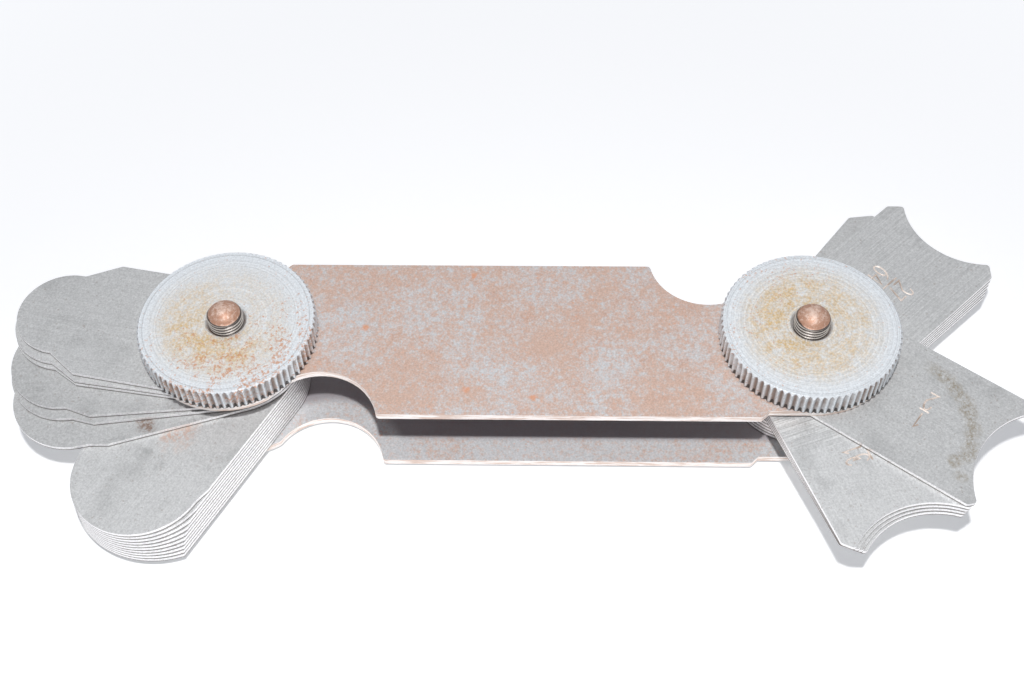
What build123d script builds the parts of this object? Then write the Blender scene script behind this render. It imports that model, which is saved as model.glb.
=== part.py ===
from build123d import *

import math
import os

# A radius gauge: two plates, held apart by two stacks of thin steel leaves. The stack on the
# left stud has rounded tips, for checking hollow radii, and the stack on the right stud has
# hollowed tips, for checking outside radii. A knurled nut on each stud clamps its stack, and
# when it is slack any leaf swings out on its own. All sizes are in mm. The origin is on the
# left stud's axis at the underside of its head, +X runs to the right stud, +Y away from the
# front edge, and +Z up through the plates.

# Overall layout
stud_spacing = 79.375
leaves_per_stud = 16
smallest_size = 17
radius_step = 25.4 / 64

# Plates
plate_thickness = 1.07
plate_width = 25.4
plate_end_radius = 11.7
step_reach = 6.2
notch_radius = 7.94
notch_overlap = 0.53
notch_offset = 1.15
notch_corner_radius = 0.5
notch_blend_radius = 6.0

# Studs
stud_radius = 2.41
stud_head_radius = 4.75
stud_head_height = 0.8
stud_head_chamfer = 0.2
stud_above_nut = 1.55
stud_dome_radius = 2.2
stud_dome_height = 1.25
bore_clearance = 0.04

# Knurled nuts
nut_radius = 12.2
nut_height = 3.65
nut_teeth = 80
tooth_depth = 0.37
nut_top_chamfer = 0.35
nut_bottom_chamfer = 0.25
nut_bore_clearance = 0.03
countersink = 0.45

# Leaves
leaf_thickness = 0.635
leaf_width = 19.05
leaf_gap = 0.024
plate_gap = 0.034
convex_length_small = 31.5
convex_length_large = 30.95
small_convex_count = 3
shoulder_setback = 11.7
neck_length = 0.4
concave_length_small = 32.65
concave_length_large = 29.95
large_concave_count = 5
hollow_depth = 3.35
hollow_depth_loss = 0.2
horn_rounding = 0.5


def group(count, angle, turn):
    """The directions of leaves that lie together, each turned a little from the one above."""
    return [angle + turn * i for i in range(count)]


# Directions in which the leaves point at rest, in degrees anticlockwise from +X, from the top
# leaf of each stack down
convex_angles = [169.2, *group(2, 171.3, 0.2), 185.2, 187.8, 197.9, *group(10, 241.2, 0.03)]
concave_angles = [-36.4, *group(4, -69.1, 0.45), *group(6, 43.7, -0.15), *group(5, 52.0, 0.15)]

# Heights that follow from the sizes above
leaf_pitch = leaf_thickness + leaf_gap
stack_height = leaves_per_stud * leaf_pitch - leaf_gap
lower_plate_base = stud_head_height
stack_base = lower_plate_base + plate_thickness + plate_gap
upper_plate_base = stack_base + stack_height + plate_gap
nut_base = upper_plate_base + plate_thickness
nut_top = nut_base + nut_height
dome_base = nut_top + stud_above_nut

bore_radius = stud_radius + bore_clearance
stud_places = [(0, 0), (stud_spacing, 0)]


# Plates

def half_turn(point):
    """The matching point at the plate's other end."""
    return (stud_spacing - point[0], -point[1])


def plate_outline():
    """A bar with round ends, wider between the studs, with a round finger notch beside
    each stud, on opposite edges."""
    half_width = plate_width / 2
    step = half_width - plate_end_radius
    notch_y = -(half_width + notch_offset)
    notch_distance = plate_end_radius + notch_radius - notch_overlap
    notch_x = math.sqrt(notch_distance ** 2 - notch_y ** 2)
    notch = (notch_x, notch_y)
    # A point inside both the end circle and the notch circle, where the two overlap
    shared = 1 - (notch_radius - notch_overlap / 2) / notch_distance
    overlap_point = (shared * notch_x, shared * notch_y)
    front = [
        (0, 0),
        overlap_point,
        (notch_x, -half_width),
        (stud_spacing - step_reach - step, -half_width),
        (stud_spacing - step_reach, -plate_end_radius),
        (stud_spacing, -plate_end_radius),
    ]
    back = [half_turn(point) for point in front]
    with BuildSketch() as outline:
        with BuildLine():
            Polyline(*front, *back, close=True)
        make_face()
        with Locations(stud_places):
            Circle(plate_end_radius)
        with Locations(notch, half_turn(notch)):
            Circle(notch_radius, mode=Mode.SUBTRACT)
        vertices = outline.vertices()
        edge_corners = [
            v for v in vertices
            if abs(abs(v.Y) - half_width) < 0.01
            and min(abs(v.X - notch_x), abs(stud_spacing - v.X - notch_x)) < notch_radius + 0.01
        ]
        blend_corners = [
            v for v in vertices
            if any(
                abs(math.hypot(v.X - stud[0], v.Y) - plate_end_radius) < 0.01
                and abs(math.hypot(v.X - centre[0], v.Y - centre[1]) - notch_radius) < 0.01
                for stud, centre in zip(stud_places, (notch, half_turn(notch)))
            )
        ]
        fillet(edge_corners, radius=notch_corner_radius)
        fillet(blend_corners, radius=notch_blend_radius)
        with Locations(stud_places):
            Circle(bore_radius, mode=Mode.SUBTRACT)
    return outline.sketch


def plate(base):
    return Pos(0, 0, base) * extrude(plate_outline(), plate_thickness)


# Studs

def stud():
    """A low round head under the lower plate, a plain shank and a domed end."""
    with BuildPart() as part:
        with BuildSketch(Plane.XZ):
            with BuildLine():
                chamfer_start = (stud_head_radius - stud_head_chamfer, 0)
                dome_start = (stud_dome_radius, dome_base)
                dome_top = dome_base + stud_dome_height
                # The dome is a cap of a sphere, met halfway along its arc
                sphere = (stud_dome_radius ** 2 + stud_dome_height ** 2) / (2 * stud_dome_height)
                half_angle = math.asin(stud_dome_radius / sphere) / 2
                sphere_z = dome_top - sphere
                dome_middle = (sphere * math.sin(half_angle), sphere_z + sphere * math.cos(half_angle))
                Polyline(
                    (0, dome_top),
                    (0, 0),
                    chamfer_start,
                    (stud_head_radius, stud_head_chamfer),
                    (stud_head_radius, stud_head_height),
                    (stud_radius, stud_head_height),
                    (stud_radius, dome_base),
                    dome_start,
                )
                ThreePointArc(dome_start, dome_middle, (0, dome_top))
            make_face()
        revolve(axis=Axis.Z)
    return part.part


# Knurled nuts

def toothed_rim():
    """The nut's outline: straight V-shaped grooves between sharp ridges."""
    tooth_turn = 2 * math.pi / nut_teeth
    rim = []
    for i in range(nut_teeth):
        for radius, turn in ((nut_radius, i), (nut_radius - tooth_depth, i + 0.5)):
            rim.append((radius * math.cos(turn * tooth_turn), radius * math.sin(turn * tooth_turn)))
    return make_face(Polyline(*rim, close=True))


def bevelled_blank():
    """The nut before its teeth are cut: one flat side faces each tooth, so that the bevel
    at the top and bottom edge is a flat across each ridge."""
    flats = 0.5 * 360 / nut_teeth
    rounds = [
        (nut_base, nut_radius - nut_bottom_chamfer),
        (nut_base + nut_bottom_chamfer, nut_radius),
        (nut_top - nut_top_chamfer, nut_radius),
        (nut_top, nut_radius - nut_top_chamfer),
    ]
    sections = [
        Pos(0, 0, z) * RegularPolygon(radius, nut_teeth, major_radius=False, rotation=flats)
        for z, radius in rounds
    ]
    return loft(sections, ruled=True)


def nut():
    """A flat round nut with straight teeth cut round its rim and a bevelled edge. Its bore
    is countersunk at the top."""
    bore = stud_radius + nut_bore_clearance
    teeth = Pos(0, 0, nut_base) * extrude(toothed_rim(), nut_height)
    hole = Pos(0, 0, nut_base) * Cylinder(bore, nut_height, align=(Align.CENTER, Align.CENTER, Align.MIN))
    sink = Pos(0, 0, nut_top) * Cone(
        bore, bore + countersink, countersink, align=(Align.CENTER, Align.CENTER, Align.MAX)
    )
    return (teeth & bevelled_blank()) - hole - sink


# Leaves

def convex_outline(radius, length):
    """A leaf whose tip is an outside arc of the given radius. A tip narrower than the leaf
    has a short straight neck and sloping shoulders, a wider one ends at the leaf's sides."""
    half = leaf_width / 2
    tip_side = min(radius, half)
    tip_x = length - radius + math.sqrt(radius ** 2 - tip_side ** 2)
    with BuildSketch() as outline:
        with BuildLine():
            lower = [(0, -half), (tip_x, -tip_side)]
            if radius < half:
                lower[1:1] = [(length - shoulder_setback, -half), (tip_x - neck_length, -radius)]
            upper = [(x, -y) for x, y in reversed(lower)]
            Polyline(*lower)
            ThreePointArc(lower[-1], (length, 0), upper[0])
            Polyline(*upper)
            ThreePointArc(upper[-1], (-half, 0), lower[0])
        make_face()
        Circle(bore_radius, mode=Mode.SUBTRACT)
    return outline.sketch


def concave_outline(radius, length, depth):
    """A leaf whose tip is a hollow arc of the given radius between two horns. A bevel runs
    from the end of each horn to the leaf's side, and their corners are rounded off."""
    half = leaf_width / 2
    horn_side = math.sqrt(depth * (2 * radius - depth))
    corner = length - max(half - horn_side, 2 * horn_rounding)
    with BuildSketch() as outline:
        Circle(half)
        with BuildLine():
            Polyline(
                (0, -half),
                (corner, -half),
                (corner + half, 0),
                (corner, half),
                (0, half),
                close=True,
            )
        make_face()
        with Locations((length - depth + radius, 0)):
            Circle(radius, mode=Mode.SUBTRACT)
        horn_corners = [v for v in outline.vertices() if v.X > corner - 0.01]
        bevel_rise = half - max(v.Y for v in horn_corners if v.Y < half - 0.01)
        fillet(horn_corners, radius=min(horn_rounding, bevel_rise / 2))
        Circle(bore_radius, mode=Mode.SUBTRACT)
    return outline.sketch


def leaf(outline, stud_x, level, angle):
    """A leaf in its place on a stud, counted from the top of the stack."""
    base = stack_base + (leaves_per_stud - 1 - level) * leaf_pitch
    return Pos(stud_x, 0, base) * Rot(0, 0, angle) * extrude(outline, leaf_thickness)


def leaves():
    """Both stacks, by name. The smallest radius is on top of the left stack and at the
    bottom of the right one."""
    named = {}
    for level, angle in enumerate(convex_angles):
        size = smallest_size + level
        length = convex_length_small if level < small_convex_count else convex_length_large
        outline = convex_outline(size * radius_step, length)
        named[f"convex_leaf_{size}_64"] = leaf(outline, 0, level, angle)
    for level, angle in enumerate(concave_angles):
        size = smallest_size + leaves_per_stud - 1 - level
        length = concave_length_small
        depth = hollow_depth
        if level < large_concave_count:
            length = concave_length_large
            depth = hollow_depth - level * hollow_depth_loss
        outline = concave_outline(size * radius_step, length, depth)
        named[f"concave_leaf_{size}_64"] = leaf(outline, stud_spacing, level, angle)
    return named


# Assembly

def build():
    at_right = Pos(stud_spacing, 0, 0)
    nodes = {
        "lower_plate": plate(lower_plate_base),
        "upper_plate": plate(upper_plate_base),
        "left_stud": stud(),
        "right_stud": at_right * stud(),
        "left_nut": nut(),
        "right_nut": at_right * nut(),
    }
    nodes.update(leaves())
    return nodes


os.makedirs("parts", exist_ok=True)
for name, solid in build().items():
    export_step(solid, f"parts/{name}.step")
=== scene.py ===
# The looks of a radius gauge: worn steel plates, knurled nuts, threaded studs and two fans of
# thin leaves, on a white table. Sizes in the materials and the small pieces are in
# millimetres, and are turned into metres where they are used.

import math

import bpy
from mathutils import Matrix, Vector


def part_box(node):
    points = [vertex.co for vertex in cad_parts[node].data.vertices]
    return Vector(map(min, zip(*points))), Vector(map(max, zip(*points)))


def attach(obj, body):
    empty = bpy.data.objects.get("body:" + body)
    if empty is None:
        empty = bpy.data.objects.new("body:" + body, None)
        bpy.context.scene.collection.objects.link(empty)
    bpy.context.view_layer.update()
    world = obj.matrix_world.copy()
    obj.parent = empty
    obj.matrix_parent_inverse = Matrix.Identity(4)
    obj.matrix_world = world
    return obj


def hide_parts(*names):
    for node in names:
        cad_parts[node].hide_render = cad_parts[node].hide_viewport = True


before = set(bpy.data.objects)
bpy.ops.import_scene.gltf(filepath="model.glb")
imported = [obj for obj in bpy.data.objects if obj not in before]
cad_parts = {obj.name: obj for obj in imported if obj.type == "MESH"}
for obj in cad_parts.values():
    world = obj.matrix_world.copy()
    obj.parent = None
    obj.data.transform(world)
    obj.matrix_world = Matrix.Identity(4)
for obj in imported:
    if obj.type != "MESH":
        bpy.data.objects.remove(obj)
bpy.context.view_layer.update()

MM = 0.001

# The places that the other sizes start from, read from the frame
left_low, left_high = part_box("left_stud")
right_low, right_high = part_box("right_stud")
LEFT = Vector((left_low.x + left_high.x, left_low.y + left_high.y, 0)) / 2 / MM
RIGHT = Vector((right_low.x + right_high.x, right_low.y + right_high.y, 0)) / 2 / MM
nut_low, nut_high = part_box("left_nut")
NUT_BASE = nut_low.z / MM
GAP_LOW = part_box("lower_plate")[1].z / MM
GAP_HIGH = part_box("upper_plate")[0].z / MM
NUT_TOP = nut_high.z / MM
NUT_RADIUS = (nut_high.x - nut_low.x) / 2 / MM
STUD_TOP = left_high.z / MM

# Studs
STUD_RADIUS = 2.41
HEAD_RADIUS = (left_high.x - left_low.x) / 2 / MM
HEAD_HEIGHT = 0.8
HEAD_CHAMFER = 0.2
DOME_RADIUS = 2.2
DOME_HEIGHT = 1.25
THREAD_PITCH = 0.56
THREAD_DEPTH = 0.3
THREAD_BELOW_NUT_TOP = 1.2
ROUND_STEPS = 72

# Edges
PLATE_EDGE = 0.11
LEAF_EDGE = 0.08
NUT_EDGE = 0.04
SHARP_ANGLE = math.radians(35)
WELD_DISTANCE = 0.001

# The middles of the plates' finger notches
NOTCHES = [(13.2, -13.9), (66.2, 13.9)]

# Orange rust spots on the upper plate
ORANGE_SPOTS = [(33.3, 10.8), (32.9, -8.7), (41.9, -9.8), (18.5, 1.5)]

# Engraved sizes
DIGIT_HEIGHT = 2.5
DIGIT_WIDTH = 1.25
DIGIT_STEP = 1.6
BAR_GAP = 0.6
GROOVE_WIDTH = 0.27
GROOVE_DEPTH = 0.12
DEFAULT_PLACE = 19.0


def rgb(red, green, blue):
    """A colour that is written from 0 to 255, as the renderer wants it."""
    parts = [c / 255 for c in (red, green, blue)]
    return tuple(c / 12.92 if c <= 0.04045 else ((c + 0.055) / 1.055) ** 2.4 for c in parts) + (1,)


# Colours
PLATE_GREY = rgb(205, 206, 208)
PLATE_FILM = rgb(206, 176, 160)
PLATE_BROWN = rgb(196, 154, 134)
PLATE_EDGE_COLOUR = rgb(248, 243, 240)
PLATE_EDGE_BROWN = rgb(214, 190, 176)
NUT_GREY = rgb(224, 229, 233)
NUT_TAN = rgb(213, 179, 118)
RUST = rgb(204, 142, 100)
DARK_RUST = rgb(124, 94, 74)
OLIVE = rgb(138, 124, 98)
ORANGE = rgb(224, 150, 104)
LEAF_GREY = rgb(196, 197, 197)
LEAF_DARK = rgb(152, 153, 153)
WALL_GREY = rgb(248, 247, 248)
# Painted shade at the foot of the leaves' side walls
WALL_FOOT_SHADE = rgb(96, 84, 78)
ENGRAVED_PALE = rgb(226, 216, 208)
ENGRAVED_BROWN = rgb(164, 144, 128)
# Painted shade for the faces between the plates, where the upper plate shades them
GAP_SHADE = rgb(152, 146, 151)
THREAD_GREY = rgb(200, 194, 188)
GROOVE_DARK = rgb(76, 70, 68)
# Painted shade at the foot of the nuts
NUT_FOOT_SHADE = rgb(40, 36, 36)
COPPER = rgb(178, 136, 114)
# Pale copper, for the dome's mottling and its painted highlight
COPPER_PALE = rgb(222, 198, 184)


# Materials

class Graph:
    """The nodes of one material, with a short call for each kind that is used here."""

    def __init__(self, name):
        self.material = bpy.data.materials.new(name)
        self.material.use_nodes = True
        self.nodes = self.material.node_tree.nodes
        self.links = self.material.node_tree.links
        self.shader = self.nodes["Principled BSDF"]

    def put(self, kind, inputs, **settings):
        node = self.nodes.new(kind)
        for name, value in settings.items():
            setattr(node, name, value)
        for key, value in inputs.items():
            if isinstance(value, bpy.types.NodeSocket):
                self.links.new(value, node.inputs[key])
            else:
                node.inputs[key].default_value = value
        return node

    def places(self, centre=(0, 0, 0), angle=0.0):
        """Places on the piece in mm, measured from centre and turned by angle about Z."""
        coordinates = self.put("ShaderNodeTexCoord", {})
        inputs = {
            "Vector": coordinates.outputs["Object"],
            "Location": tuple(c * MM for c in centre),
            "Rotation": (0, 0, angle),
            "Scale": (MM, MM, MM),
        }
        return self.put("ShaderNodeMapping", inputs, vector_type="TEXTURE").outputs["Vector"]

    def stretched(self, places, x, y, z=1.0):
        """Places scaled so that a pattern becomes x, y and z times as long that way."""
        inputs = {"Vector": places, "Scale": (x, y, z)}
        return self.put("ShaderNodeMapping", inputs, vector_type="TEXTURE").outputs["Vector"]

    def parts(self, vector):
        return self.put("ShaderNodeSeparateXYZ", {"Vector": vector}).outputs

    def facing_up(self):
        """1 where the surface faces straight up or down, 0 on upright walls."""
        coordinates = self.put("ShaderNodeTexCoord", {})
        upward = self.parts(coordinates.outputs["Normal"])["Z"]
        return self.calc("ABSOLUTE", upward)

    def calc(self, operation, a, b=0.0):
        return self.put("ShaderNodeMath", {0: a, 1: b}, operation=operation).outputs[0]

    def distance(self, places, centre=(0, 0)):
        """How far each place is from an upright line through centre."""
        parts = self.parts(places)
        x = self.calc("SUBTRACT", parts["X"], centre[0])
        y = self.calc("SUBTRACT", parts["Y"], centre[1])
        squares = self.calc("ADD", self.calc("MULTIPLY", x, x), self.calc("MULTIPLY", y, y))
        return self.calc("SQRT", squares)

    def noise(self, places, size, detail=2.0, roughness=0.5, seed=0.0):
        """A smooth random pattern from 0 to 1 with features of about that size."""
        inputs = {
            "Vector": places,
            "W": seed,
            "Scale": 1 / size,
            "Detail": detail,
            "Roughness": roughness,
        }
        return self.put("ShaderNodeTexNoise", inputs, noise_dimensions="4D").outputs["Fac"]

    def ramp(self, value, low, high):
        """0 below low, 1 above high, and smooth between them. Low may be above high."""
        inputs = {"Value": value, "From Min": low, "From Max": high}
        node = self.put("ShaderNodeMapRange", inputs, interpolation_type="SMOOTHSTEP")
        return node.outputs["Result"]

    def scaled(self, value, low, high):
        """A value from 0 to 1 turned into one from low to high."""
        inputs = {"Value": value, "To Min": low, "To Max": high}
        return self.put("ShaderNodeMapRange", inputs).outputs["Result"]

    def both(self, a, b):
        return self.calc("MULTIPLY", a, b)

    def either(self, a, b):
        return self.calc("MAXIMUM", a, b)

    def mix(self, share, a, b):
        """Colour a where share is 0, colour b where it is 1."""
        inputs = {"Factor": share, 6: a, 7: b}
        node = self.put("ShaderNodeMix", inputs, data_type="RGBA")
        return node.outputs[2]

    def shade(self, colour, share, low, high):
        """The colour made darker or lighter by a pattern from 0 to 1."""
        factor = self.scaled(share, low, high)
        grey = self.put("ShaderNodeCombineColor", {0: factor, 1: factor, 2: factor}).outputs[0]
        inputs = {"Factor": 1.0, 6: colour, 7: grey}
        node = self.put("ShaderNodeMix", inputs, data_type="RGBA", blend_type="MULTIPLY")
        return node.outputs[2]

    def finish(self, colour, metallic, roughness, height, bump):
        """Joins the patterns to the shader. bump is the height in mm of a full step."""
        inputs = {"Height": height, "Distance": bump * MM}
        normal = self.put("ShaderNodeBump", inputs).outputs["Normal"]
        sockets = {
            "Base Color": colour,
            "Metallic": metallic,
            "Roughness": roughness,
            "Normal": normal,
        }
        for name, value in sockets.items():
            if isinstance(value, bpy.types.NodeSocket):
                self.links.new(value, self.shader.inputs[name])
            else:
                self.shader.inputs[name].default_value = value
        return self.material


def plate_steel(name, film, seed):
    """Worn grey steel under a fine brown film, with bright rubbed edges. film is how much of
    the steel the film covers."""
    g = Graph(name)
    p = g.places()
    clouds = g.noise(p, 9.0, 4.0, 0.6, seed=seed)
    mottle = g.noise(p, 0.6, 3.0, 0.8, seed=seed)
    cover = g.calc("ADD", g.both(clouds, 0.4), g.both(mottle, 0.6))
    colour = g.mix(g.ramp(cover, 0.46 - film, 0.66 - film), PLATE_GREY, PLATE_FILM)
    patches = g.noise(p, 2.2, 8.0, 0.85, seed=seed + 4)
    colour = g.mix(g.both(g.ramp(patches, 0.6 - film, 0.76 - film), 0.55), colour, PLATE_BROWN)
    grain = g.noise(p, 0.26, 2.0, 0.6, seed=seed)
    colour = g.shade(colour, grain, 0.62, 1.38)
    dots = g.ramp(g.noise(p, 0.4, 2.0, seed=seed + 7), 0.6, 0.72)
    fields = g.ramp(g.noise(p, 5.0, 2.0, seed=seed + 9), 0.46, 0.6)
    colour = g.mix(g.both(g.both(dots, fields), 0.5), colour, ORANGE)
    for x, y in ORANGE_SPOTS:
        wander = g.scaled(g.noise(p, 0.5, 2.0), -0.45, 0.45)
        edge = g.calc("ADD", g.distance(p, (x, y)), wander)
        colour = g.mix(g.both(g.ramp(edge, 0.7, 0.2), film * 7), colour, ORANGE)
    parts = g.parts(p)
    # Painted shade: the plates' facing sides are darkened inward from the front and back edges and
    # away from the finger notches, as the shadow of the upper plate
    gap_shade = g.ramp(parts["Z"], GAP_LOW - 0.1, GAP_LOW - 0.02)
    gap_shade = g.both(gap_shade, g.ramp(parts["Z"], GAP_HIGH + 0.1, GAP_HIGH + 0.02))
    gap_shade = g.both(gap_shade, g.ramp(g.calc("ABSOLUTE", parts["Y"]), 9.7, 8.4))
    for notch in NOTCHES:
        gap_shade = g.both(gap_shade, g.ramp(g.distance(p, notch), 10.2, 12.0))
    colour = g.mix(g.both(gap_shade, 0.85), colour, GAP_SHADE)
    wear = g.noise(g.stretched(p, 5.0, 5.0, 0.4), 0.8, 4.0, 0.65, seed=seed + 2)
    rubbed = g.mix(g.both(g.ramp(wear, 0.46, 0.6), 0.85), PLATE_EDGE_COLOUR, PLATE_EDGE_BROWN)
    face = g.ramp(g.facing_up(), 0.8, 0.97)
    colour = g.mix(face, rubbed, colour)
    metallic = g.scaled(face, 0.85, 0.12)
    roughness = g.scaled(mottle, 0.42, 0.62)
    return g.finish(colour, metallic, roughness, grain, 0.02)


def nut_steel(name, centre, halo_way, halo_share, speck_way, speck_share, seed):
    """Turned pale steel with a tan halo and rust specks. The ways are the directions from
    the stud in which the halo and the specks are strongest, and the shares say how strong
    the halo is on its weak side and how dense the specks are."""
    g = Graph(name)
    p = g.places(centre)
    r = g.distance(p)
    parts = g.parts(p)

    def toward(way):
        return g.calc("ADD", g.both(parts["X"], way[0]), g.both(parts["Y"], way[1]))

    rings = g.noise(g.put("ShaderNodeCombineXYZ", {"X": r}).outputs[0], 0.33, 3.0, 0.75, seed)
    grain = g.noise(p, 0.26, 2.0, 0.6, seed=seed)
    cloud = g.noise(p, 2.2, 5.0, 0.7, seed=seed)
    halo = g.both(g.ramp(r, 11.5, 6.0), g.ramp(r, 2.2, 3.4))
    halo = g.both(halo, g.scaled(g.ramp(toward(halo_way), -6.0, 5.0), halo_share, 1.0))
    halo = g.both(halo, g.ramp(cloud, 0.24, 0.6))
    freckles = g.noise(p, 0.36, 3.0, 0.7, seed=seed + 3)
    halo = g.both(halo, g.scaled(g.ramp(freckles, 0.4, 0.6), 0.4, 0.9))
    colour = g.mix(halo, NUT_GREY, NUT_TAN)
    colour = g.shade(colour, rings, 0.56, 1.44)
    colour = g.shade(colour, grain, 0.62, 1.38)
    field = g.ramp(toward(speck_way), -6.0, 8.0)
    field = g.both(field, g.ramp(g.noise(p, 2.0, 3.0, seed=seed + 2), 0.36, 0.58))
    specks = g.calc("ADD", g.noise(p, 0.42, 4.0, 0.75, seed=seed + 5), g.both(field, speck_share))
    specks = g.ramp(specks, 0.6, 0.72)
    colour = g.mix(g.both(specks, 0.8), colour, RUST)
    line = g.calc("ABSOLUTE", g.calc("SUBTRACT", r, NUT_RADIUS - 0.85))
    line = g.both(g.ramp(line, 0.09, 0.03), 0.2)
    colour = g.mix(line, colour, GROOVE_DARK)
    on_rim = g.ramp(parts["Z"], NUT_TOP - 0.1, NUT_TOP - 0.3)
    depth = g.both(on_rim, g.ramp(r, NUT_RADIUS - 0.04, NUT_RADIUS - 0.3))
    dirt = g.scaled(g.ramp(g.noise(p, 3.0, 3.0, seed=seed + 1), 0.35, 0.6), 0.35, 0.85)
    colour = g.mix(g.both(depth, dirt), colour, DARK_RUST)
    # Painted shade: the nut's foot, reaching higher in the knurl's grooves, is painted near black as
    # the shadow where it meets the plate
    foot = g.calc("SUBTRACT", parts["Z"], g.scaled(g.ramp(depth, 0.2, 0.8), 0.0, 0.6))
    foot = g.ramp(foot, NUT_BASE + 0.35, NUT_BASE + 0.15)
    colour = g.mix(g.both(foot, 0.9), colour, NUT_FOOT_SHADE)
    metallic = g.scaled(g.both(on_rim, g.ramp(depth, 0.5, 0.1)), 0.2, 0.6)
    return g.finish(colour, metallic, 0.42, g.either(rings, grain), 0.012)


def stud_steel(name, centre, seed):
    """Steel threads with dark grooves under a copper-brown dome."""
    g = Graph(name)
    p = g.places(centre)
    r = g.distance(p)
    parts = g.parts(p)
    grain = g.noise(p, 0.22, 3.0, 0.6, seed=seed)
    patches = g.noise(p, 0.5, 4.0, 0.75, seed=seed)
    dome_base = STUD_TOP - DOME_HEIGHT
    on_dome = g.ramp(parts["Z"], dome_base - 0.02, dome_base + 0.06)
    # The thread is darker in its grooves than on its crests
    crest = g.ramp(r, STUD_RADIUS - THREAD_DEPTH / 2, STUD_RADIUS - 0.02)
    threaded = g.ramp(parts["Z"], NUT_TOP - 1.3, NUT_TOP - 1.1)
    grooves = g.both(threaded, g.calc("SUBTRACT", 1.0, crest))
    steel = g.mix(grooves, THREAD_GREY, GROOVE_DARK)
    # Painted highlight: the dome is paler toward its top, over its pale mottling
    top = g.ramp(r, DOME_RADIUS, 0.0)
    pale = g.calc("ADD", patches, g.both(top, 0.14))
    copper = g.mix(g.both(g.ramp(pale, 0.48, 0.7), 0.85), COPPER, COPPER_PALE)
    colour = g.mix(on_dome, steel, copper)
    colour = g.shade(colour, grain, 0.7, 1.3)
    metallic = g.scaled(on_dome, 0.7, 0.35)
    roughness = g.scaled(on_dome, 0.35, 0.55)
    return g.finish(colour, metallic, roughness, grain, 0.012)


def leaf_steel(name, stud, angle, tone, lengthwise, crosswise, stains, seed):
    """Satin steel with a fine grain, brushed along or across the leaf. tone makes the leaf
    lighter or darker, and each stain is a mask of its place with the colour it gives. stud
    is the stud's place at the height of the leaf's underside."""
    g = Graph(name)
    p = g.places(stud, angle)
    along = g.noise(g.stretched(p, 14.0, 0.35), 0.6, 3.0, 0.6, seed=seed)
    across = g.noise(g.stretched(p, 0.35, 14.0), 0.6, 3.0, 0.6, seed=seed)
    grain = g.noise(p, 0.24, 3.0, 0.65, seed=seed)
    soft = g.noise(p, 5.0, 4.0, 0.6, seed=seed)
    up = g.facing_up()
    colour = g.mix(g.both(g.ramp(soft, 0.5, 0.72), 0.35), LEAF_GREY, LEAF_DARK)
    # Painted shade: each side wall darkens toward its foot, the dark line where a leaf lies on the
    # next one
    wall = g.mix(g.ramp(g.parts(p)["Z"], 0.04, 0.28), WALL_FOOT_SHADE, WALL_GREY)
    colour = g.mix(g.ramp(up, 0.9, 0.99), wall, colour)
    colour = g.shade(colour, grain, tone - 0.5, tone + 0.5)
    colour = g.shade(colour, along, 1 - lengthwise, 1 + lengthwise)
    near_nut = g.ramp(g.distance(p), 19.0, 13.0)
    cross = g.both(g.calc("SUBTRACT", across, 0.5), near_nut)
    colour = g.shade(colour, g.calc("ADD", cross, 0.5), 1 - crosswise, 1 + crosswise)
    dust = g.both(g.ramp(g.noise(p, 0.4, 1.0, seed=seed + 4), 0.66, 0.74), 0.3)
    colour = g.mix(dust, colour, DARK_RUST)
    for mask, tint in stains:
        colour = g.mix(mask(g, p), colour, tint)
    metallic = g.scaled(g.ramp(up, 0.3, 0.9), 0.8, 0.2)
    roughness = g.scaled(soft, 0.4, 0.52)
    return g.finish(colour, metallic, roughness, g.either(grain, along), 0.012)


def ring_stain(centre, radius, width):
    """A tide mark: an uneven band along a circle on the leaf."""

    def mask(g, p):
        wander = g.scaled(g.noise(p, 2.0, 3.0), -1.2, 1.2)
        off = g.calc("ADD", g.calc("SUBTRACT", g.distance(p, centre), radius), wander)
        band = g.ramp(g.calc("ABSOLUTE", off), width, width * 0.2)
        beyond = g.ramp(g.parts(p)["X"], 14.0, 17.0)
        side = g.ramp(g.parts(p)["Y"], -5.0, -3.0)
        broken = g.ramp(g.noise(p, 0.4, 4.0, 0.8, seed=2.0), 0.38, 0.64)
        return g.both(g.both(g.both(band, beyond), side), g.both(broken, 0.75))

    return mask


def spot_stain(centre, radius, strength, grain=0.6):
    """An uneven, speckled spot."""

    def mask(g, p):
        wander = g.scaled(g.noise(p, radius, 4.0, 0.6), -radius, radius)
        edge = g.calc("ADD", g.distance(p, centre), wander)
        broken = g.ramp(g.noise(p, grain, 3.0, 0.7, seed=5.0), 0.35, 0.62)
        return g.both(g.both(g.ramp(edge, radius, radius * 0.3), broken), strength)

    return mask


def engraved_steel():
    g = Graph("engraved steel")
    p = g.places()
    grain = g.noise(p, 0.2)
    worn = g.ramp(g.noise(p, 1.6, 2.0), 0.45, 0.6)
    colour = g.mix(g.both(worn, 0.6), ENGRAVED_PALE, ENGRAVED_BROWN)
    colour = g.shade(colour, grain, 0.8, 1.2)
    return g.finish(colour, 0.2, 0.45, grain, 0.004)


# Meshes

def mesh_object(name, vertices, faces, hidden=False):
    mesh = bpy.data.meshes.new(name)
    mesh.from_pydata([Vector(v) * MM for v in vertices], [], faces)
    mesh.validate()
    thing = bpy.data.objects.new(name, mesh)
    bpy.context.scene.collection.objects.link(thing)
    thing.hide_render = hidden
    return thing


def soften_edges(node, width):
    """Joins the split corners of a CAD mesh and rounds its sharp edges a little."""
    weld = node.modifiers.new("Weld", "WELD")
    weld.merge_threshold = WELD_DISTANCE * MM
    bevel = node.modifiers.new("Bevel", "BEVEL")
    bevel.width = width * MM
    bevel.segments = 2
    bevel.limit_method = "ANGLE"
    bevel.angle_limit = SHARP_ANGLE


def paint(node, *materials):
    node.data.materials.clear()
    for material in materials:
        node.data.materials.append(material)


# Studs

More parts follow.
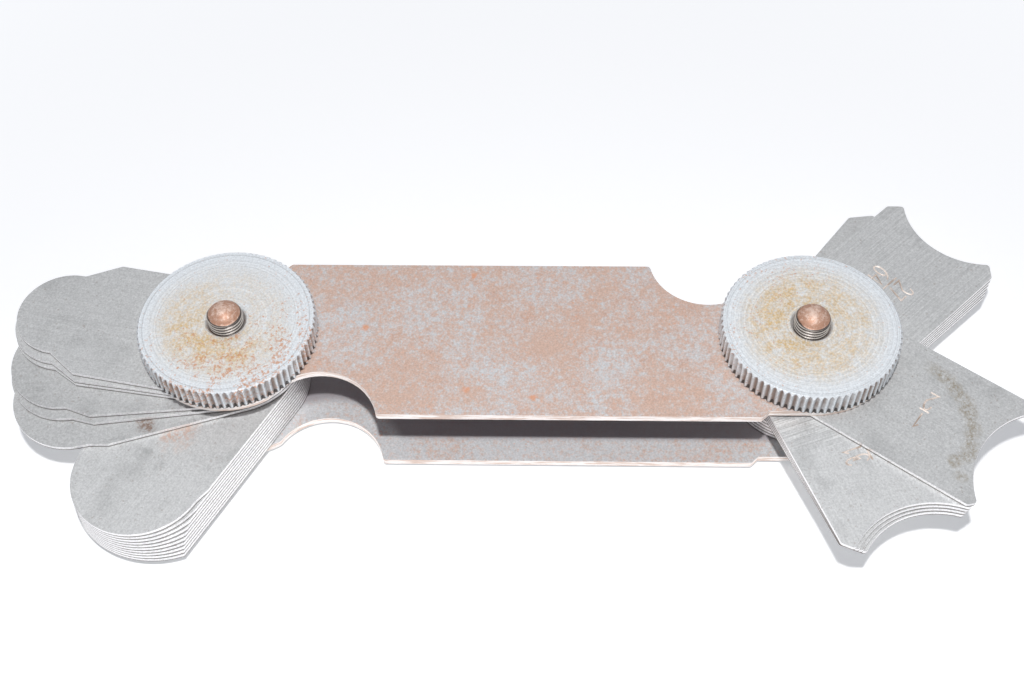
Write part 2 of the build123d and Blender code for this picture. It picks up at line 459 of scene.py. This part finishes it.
def thread_depth_at(z, turn):
    """How deep the thread's groove is at a height, and at a turn from 0 to 1."""
    phase = (z / THREAD_PITCH - turn) % 1
    slope = abs(2 * phase - 1)
    return THREAD_DEPTH * min(1.0, max(0.0, (slope - 0.12) / 0.76))


def stud_rows():
    """The stud's rings from the bottom up: height, radius, and whether the thread cuts it."""
    rows = [
        (0, HEAD_RADIUS - HEAD_CHAMFER, False),
        (HEAD_CHAMFER, HEAD_RADIUS, False),
        (HEAD_HEIGHT, HEAD_RADIUS, False),
        (HEAD_HEIGHT, STUD_RADIUS, False),
    ]
    dome_base = STUD_TOP - DOME_HEIGHT
    thread_base = NUT_TOP - THREAD_BELOW_NUT_TOP
    steps = round((dome_base - thread_base) / THREAD_PITCH * 10)
    for i in range(steps + 1):
        z = thread_base + (dome_base - thread_base) * i / steps
        rows.append((z, min(STUD_RADIUS, DOME_RADIUS + 0.02 + dome_base - z), i > 0))
    ball = (DOME_RADIUS ** 2 + DOME_HEIGHT ** 2) / (2 * DOME_HEIGHT)
    half_angle = math.asin(DOME_RADIUS / ball)
    for i in range(10):
        angle = half_angle * (1 - i / 10)
        rows.append((STUD_TOP - ball + ball * math.cos(angle), ball * math.sin(angle), False))
    return rows


def stud(name, node, centre):
    """A stud with a real helical thread at its end."""
    vertices = []
    faces = []
    rows = stud_rows()
    for z, radius, threaded in rows:
        for i in range(ROUND_STEPS):
            turn = i / ROUND_STEPS
            r = min(radius, STUD_RADIUS - thread_depth_at(z, turn)) if threaded else radius
            angle = 2 * math.pi * turn
            vertices.append((centre.x + r * math.cos(angle), centre.y + r * math.sin(angle), z))
    for row in range(len(rows) - 1):
        for i in range(ROUND_STEPS):
            a = row * ROUND_STEPS + i
            b = row * ROUND_STEPS + (i + 1) % ROUND_STEPS
            faces.append((a, b, b + ROUND_STEPS, a + ROUND_STEPS))
    top = len(vertices)
    vertices.append((centre.x, centre.y, STUD_TOP))
    last = top - ROUND_STEPS
    for i in range(ROUND_STEPS):
        faces.append((last + i, last + (i + 1) % ROUND_STEPS, top))
    faces.append(tuple(reversed(range(ROUND_STEPS))))
    made = mesh_object(name, vertices, faces)
    for face in made.data.polygons[:-1]:
        face.use_smooth = True
    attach(made, "frame")
    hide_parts(node)
    return made


# Engraved sizes

def arc(x, y, radius, start, end, steps=10):
    """Points along an arc, in degrees."""
    angles = [math.radians(start + (end - start) * i / steps) for i in range(steps + 1)]
    return [(x + radius * math.cos(a), y + radius * math.sin(a)) for a in angles]


# The strokes of each digit, in a box one high and about half as wide
SIX = [[(0.86, 0.96), (0.5, 0.84), (0.18, 0.6), *arc(0.5, 0.28, 0.42, 160, 520, 16)]]
STROKES = {
    "1": [[(0.2, 0.78), (0.5, 1), (0.5, 0)]],
    "2": [[*arc(0.5, 0.74, 0.42, 165, -25, 8), (0.06, 0), (0.96, 0)]],
    "3": [[*arc(0.46, 0.76, 0.4, 150, -80, 8), *arc(0.46, 0.27, 0.45, 80, -150, 8)]],
    "4": [[(0.7, 0), (0.7, 1), (0.02, 0.3), (0.98, 0.3)]],
    "5": [[(0.88, 1), (0.18, 1), (0.1, 0.56), *arc(0.45, 0.31, 0.44, 105, -150, 9)]],
    "6": SIX,
    "7": [[(0.04, 1), (0.94, 1), (0.36, 0)]],
    "8": [arc(0.5, 0.76, 0.38, 90, 450, 14), arc(0.5, 0.27, 0.44, 90, 450, 14)],
    "9": [[(1 - x, 1 - y) for x, y in stroke] for stroke in SIX],
}


def digit_points(x, y):
    """A place in a digit's unit box in mm. The box's arcs are drawn as high as they are wide."""
    return (x * DIGIT_WIDTH, y * DIGIT_HEIGHT)


def number_strokes(text, base):
    """The strokes of a whole number, centred on x = 0 and standing on the line y = base."""
    width = DIGIT_STEP * (len(text) - 1) + DIGIT_WIDTH
    strokes = []
    for place, digit in enumerate(text):
        start = place * DIGIT_STEP - width / 2
        for stroke in STROKES[digit]:
            points = [digit_points(x, y) for x, y in stroke]
            strokes.append([(start + x, base + y) for x, y in points])
    return strokes


def fraction_strokes(size):
    """A size in 64ths of an inch as a fraction in its lowest terms, the bar on y = 0."""
    shared = math.gcd(size, 64)
    above = str(size // shared)
    below = str(64 // shared)
    width = DIGIT_STEP * (max(len(above), len(below)) - 1) + DIGIT_WIDTH
    bar = [(-width / 2, 0), (width / 2, 0)]
    return [
        *number_strokes(above, BAR_GAP),
        bar,
        *number_strokes(below, -BAR_GAP - DIGIT_HEIGHT),
    ]


def groove(points):
    """A bar along a line of points, with a diamond section and pointed ends."""
    line = [Vector(p) for p in points]
    vertices = []
    for i, point in enumerate(line):
        before = (point - line[i - 1]).normalized() if i else None
        after = (line[i + 1] - point).normalized() if i < len(line) - 1 else None
        way = ((before or after) + (after or before)).normalized()
        across = Vector((-way.y, way.x))
        corner = max(0.5, way.dot(after or before))
        side = across * (GROOVE_WIDTH / 2 / corner)
        vertices += [
            (*(point + side), 0),
            (*point, GROOVE_DEPTH),
            (*(point - side), 0),
            (*point, -GROOVE_DEPTH),
        ]
    faces = []
    for i in range(len(line) - 1):
        for k in range(4):
            a = i * 4 + k
            b = i * 4 + (k + 1) % 4
            faces.append((a, b, b + 4, a + 4))
    last = (len(line) - 1) * 4
    start_tip = line[0] + (line[0] - line[1]).normalized() * GROOVE_WIDTH / 2
    end_tip = line[-1] + (line[-1] - line[-2]).normalized() * GROOVE_WIDTH / 2
    tip = len(vertices)
    vertices += [(*start_tip, 0), (*end_tip, 0)]
    for k in range(4):
        n = (k + 1) % 4
        faces.append((tip, n, k))
        faces.append((tip + 1, last + k, last + n))
    return vertices, faces


def engrave(node, body, size, stud_place, angle, axial, face_z, underside):
    """Cuts a leaf's size into one of its faces. The text reads toward the stud."""
    vertices = []
    faces = []
    for stroke in fraction_strokes(size):
        more_vertices, more_faces = groove(stroke)
        start = len(vertices)
        vertices += more_vertices
        faces += [tuple(start + i for i in face) for face in more_faces]
    flip = -1 if underside else 1
    turn = Matrix.Rotation(angle, 3, "Z")
    placed = []
    for x, y, z in vertices:
        local = Vector((axial - x, -y * flip, 0))
        placed.append(turn @ local + Vector((stud_place.x, stud_place.y, face_z + z)))
    if underside:
        faces = [tuple(reversed(face)) for face in faces]
    cutter = mesh_object(f"{node.name}_size", placed, faces, hidden=True)
    for face in cutter.data.polygons:
        face.material_index = 1
    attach(cutter, body)
    cut = node.modifiers.new("Size", "BOOLEAN")
    cut.operation = "DIFFERENCE"
    cut.solver = "EXACT"
    cut.use_self = True
    cut.material_mode = "INDEX"
    cut.object = cutter


# Leaves

def leaf_angle(node, stud_place):
    """The direction in which a leaf points, from the places of its outermost corners."""
    ways = [v.co / MM - stud_place for v in node.data.vertices]
    reach = max(w.xy.length for w in ways)
    tip = sum((w.xy for w in ways if w.xy.length > reach * 0.93), Vector((0, 0)))
    return math.atan2(tip.y, tip.x)


STAINS = {
    "concave_leaf_32_64": [
        (ring_stain((15.0, -4.0), 10.7, 1.5), OLIVE),
        (spot_stain((24.8, -4.6), 1.3, 0.65), OLIVE),
        (spot_stain((26.6, -6.2), 1.1, 0.65), OLIVE),
    ],
    "convex_leaf_22_64": [(spot_stain((13.9, 7.9), 1.9, 0.85), DARK_RUST)],
    "convex_leaf_23_64": [
        (spot_stain((14.6, 1.0), 3.2, 0.55), RUST),
        (spot_stain((19.1, -1.6), 1.5, 0.5, 1.2), LEAF_DARK),
        (spot_stain((19.1, 1.4), 1.5, 0.5, 1.2), LEAF_DARK),
    ],
}
TONES = {
    "convex_leaf_17_64": 0.98,
    "convex_leaf_20_64": 0.9,
    "convex_leaf_21_64": 0.92,
    "convex_leaf_22_64": 0.93,
    "convex_leaf_23_64": 1.08,
    "concave_leaf_31_64": 1.1,
    "concave_leaf_27_64": 1.02,
}
SIZE_PLACES = {
    "concave_leaf_32_64": 18.0,
    "concave_leaf_31_64": 17.7,
    "concave_leaf_27_64": 19.4,
}


def dress_leaf(kind, size, stud_place):
    name = f"{kind}_leaf_{size}_64"
    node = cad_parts[name]
    low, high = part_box(name)
    angle = leaf_angle(node, stud_place)
    brushed = 0.4 if name == "concave_leaf_27_64" else 0.15
    crossed = 0.8 if name == "concave_leaf_31_64" else 0.12
    tone = TONES.get(name, 1.0 + 0.03 * math.sin(size * 2.3))
    stains = STAINS.get(name, [])
    foot = Vector((stud_place.x, stud_place.y, low.z / MM))
    steel = leaf_steel(f"{name} steel", foot, angle, tone, brushed, crossed, stains, size)
    paint(node, steel, ENGRAVED)
    soften_edges(node, LEAF_EDGE)
    underside = kind == "convex"
    face_z = (low.z if underside else high.z) / MM
    axial = SIZE_PLACES.get(name, DEFAULT_PLACE)
    engrave(node, name, size, stud_place, angle, axial, face_z, underside)


# The stage

LAMP_PLACE = (0.041, -0.096, 0.24)
LAMP_POWER = 2.05
LAMP_RADIUS = 0.005
WORLD_SHADE = (0.13, 0.137, 0.165, 1)
FLOOR_COLOUR = (0.8, 0.8, 0.8, 1)
FLOOR_GLOW = 0.41
FAR_FLOOR_GLOW = 1.0
FLOOR_GLOW_COLOUR = (0.965, 0.98, 1.0, 1)
FLOOR_REACH = 4000

CAMERA_PLACE = (0.042996, -0.111202, 0.166753)
CAMERA_TURN = (0.6252, 0.0136, 0.0181)
CAMERA_LENS = 48.38


def seen_directly(nodes, links):
    """1 for rays from the camera and for rays that mirror or pass through, else 0."""
    path = nodes.new("ShaderNodeLightPath")
    rays = ["Is Camera Ray", "Is Glossy Ray", "Is Transmission Ray"]
    total = path.outputs[rays[0]]
    for ray in rays[1:]:
        either = nodes.new("ShaderNodeMath")
        either.operation = "MAXIMUM"
        links.new(total, either.inputs[0])
        links.new(path.outputs[ray], either.inputs[1])
        total = either.outputs[0]
    return total


def make_world():
    """White where it is seen or mirrored, and a dimmer sky that fills the shadows."""
    world = bpy.data.worlds.new("studio")
    bpy.context.scene.world = world
    world.use_nodes = True
    nodes = world.node_tree.nodes
    links = world.node_tree.links
    nodes.clear()
    sky = nodes.new("ShaderNodeBackground")
    sky.inputs["Color"].default_value = WORLD_SHADE
    white = nodes.new("ShaderNodeBackground")
    white.inputs["Color"].default_value = (1, 1, 1, 1)
    choice = nodes.new("ShaderNodeMixShader")
    links.new(seen_directly(nodes, links), choice.inputs[0])
    links.new(sky.outputs[0], choice.inputs[1])
    links.new(white.outputs[0], choice.inputs[2])
    output = nodes.new("ShaderNodeOutputWorld")
    links.new(choice.outputs[0], output.inputs["Surface"])


def make_floor():
    """A pale table that shows as white and keeps the shadow. It glows more further out, where
    the lamp's light fades."""
    r = FLOOR_REACH
    floor = mesh_object("floor", [(-r, -r, 0), (r, -r, 0), (r, r, 0), (-r, r, 0)], [(0, 1, 2, 3)])
    material = bpy.data.materials.new("table")
    material.use_nodes = True
    nodes = material.node_tree.nodes
    links = material.node_tree.links
    nodes.clear()
    diffuse = nodes.new("ShaderNodeBsdfDiffuse")
    diffuse.inputs["Color"].default_value = FLOOR_COLOUR
    coordinates = nodes.new("ShaderNodeTexCoord")
    offset = nodes.new("ShaderNodeVectorMath")
    offset.operation = "DISTANCE"
    offset.inputs[1].default_value = (LAMP_PLACE[0], LAMP_PLACE[1] / 2, 0)
    links.new(coordinates.outputs["Object"], offset.inputs[0])
    level = nodes.new("ShaderNodeMapRange")
    level.interpolation_type = "SMOOTHSTEP"
    level.inputs["From Min"].default_value = 0.08
    level.inputs["From Max"].default_value = 0.36
    level.inputs["To Min"].default_value = FLOOR_GLOW
    level.inputs["To Max"].default_value = FAR_FLOOR_GLOW
    links.new(offset.outputs["Value"], level.inputs["Value"])
    strength = nodes.new("ShaderNodeMath")
    strength.operation = "MULTIPLY"
    links.new(seen_directly(nodes, links), strength.inputs[0])
    links.new(level.outputs[0], strength.inputs[1])
    glow = nodes.new("ShaderNodeEmission")
    glow.inputs["Color"].default_value = FLOOR_GLOW_COLOUR
    links.new(strength.outputs[0], glow.inputs["Strength"])
    together = nodes.new("ShaderNodeAddShader")
    links.new(diffuse.outputs[0], together.inputs[0])
    links.new(glow.outputs[0], together.inputs[1])
    output = nodes.new("ShaderNodeOutputMaterial")
    links.new(together.outputs[0], output.inputs["Surface"])
    floor.data.materials.append(material)


def make_lamp():
    """A small lamp above the camera, as the spread of the shadows in the photograph shows."""
    light = bpy.data.lights.new("lamp", "POINT")
    light.energy = LAMP_POWER
    light.shadow_soft_size = LAMP_RADIUS
    lamp = bpy.data.objects.new("lamp", light)
    lamp.location = LAMP_PLACE
    bpy.context.scene.collection.objects.link(lamp)


def make_camera():
    lens = bpy.data.cameras.new("camera")
    lens.lens = CAMERA_LENS
    lens.sensor_width = 36
    lens.clip_start = 0.01
    camera = bpy.data.objects.new("camera", lens)
    camera.location = CAMERA_PLACE
    camera.rotation_euler = CAMERA_TURN
    bpy.context.scene.collection.objects.link(camera)
    bpy.context.scene.camera = camera


make_camera()
make_world()
make_floor()
make_lamp()
bpy.context.scene.view_settings.view_transform = "Standard"

ENGRAVED = engraved_steel()
for plate_name, film, number in (("upper_plate", 0.09, 1.0), ("lower_plate", 0.0, 2.0)):
    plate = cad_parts[plate_name]
    paint(plate, plate_steel(f"{plate_name} steel", film, number))
    soften_edges(plate, PLATE_EDGE)

for nut_name, place, halo_way, halo_share, speck_way, speck_share, number in (
    ("left_nut", LEFT, (-0.6, -0.8), 0.35, (0.4, -0.9), 0.14, 1.0),
    ("right_nut", RIGHT, (-1.0, 0.1), 0.8, (-0.9, 0.4), 0.06, 2.0),
):
    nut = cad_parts[nut_name]
    steel = nut_steel(f"{nut_name} steel", place, halo_way, halo_share, speck_way, speck_share, number)
    paint(nut, steel)
    soften_edges(nut, NUT_EDGE)

for side, place in (("left", LEFT), ("right", RIGHT)):
    made_stud = stud(f"{side}_threaded_stud", f"{side}_stud", place)
    paint(made_stud, stud_steel(f"{side} stud steel", place, place.x))

for leaf_size in range(17, 33):
    dress_leaf("convex", leaf_size, LEFT)
    dress_leaf("concave", leaf_size, RIGHT)
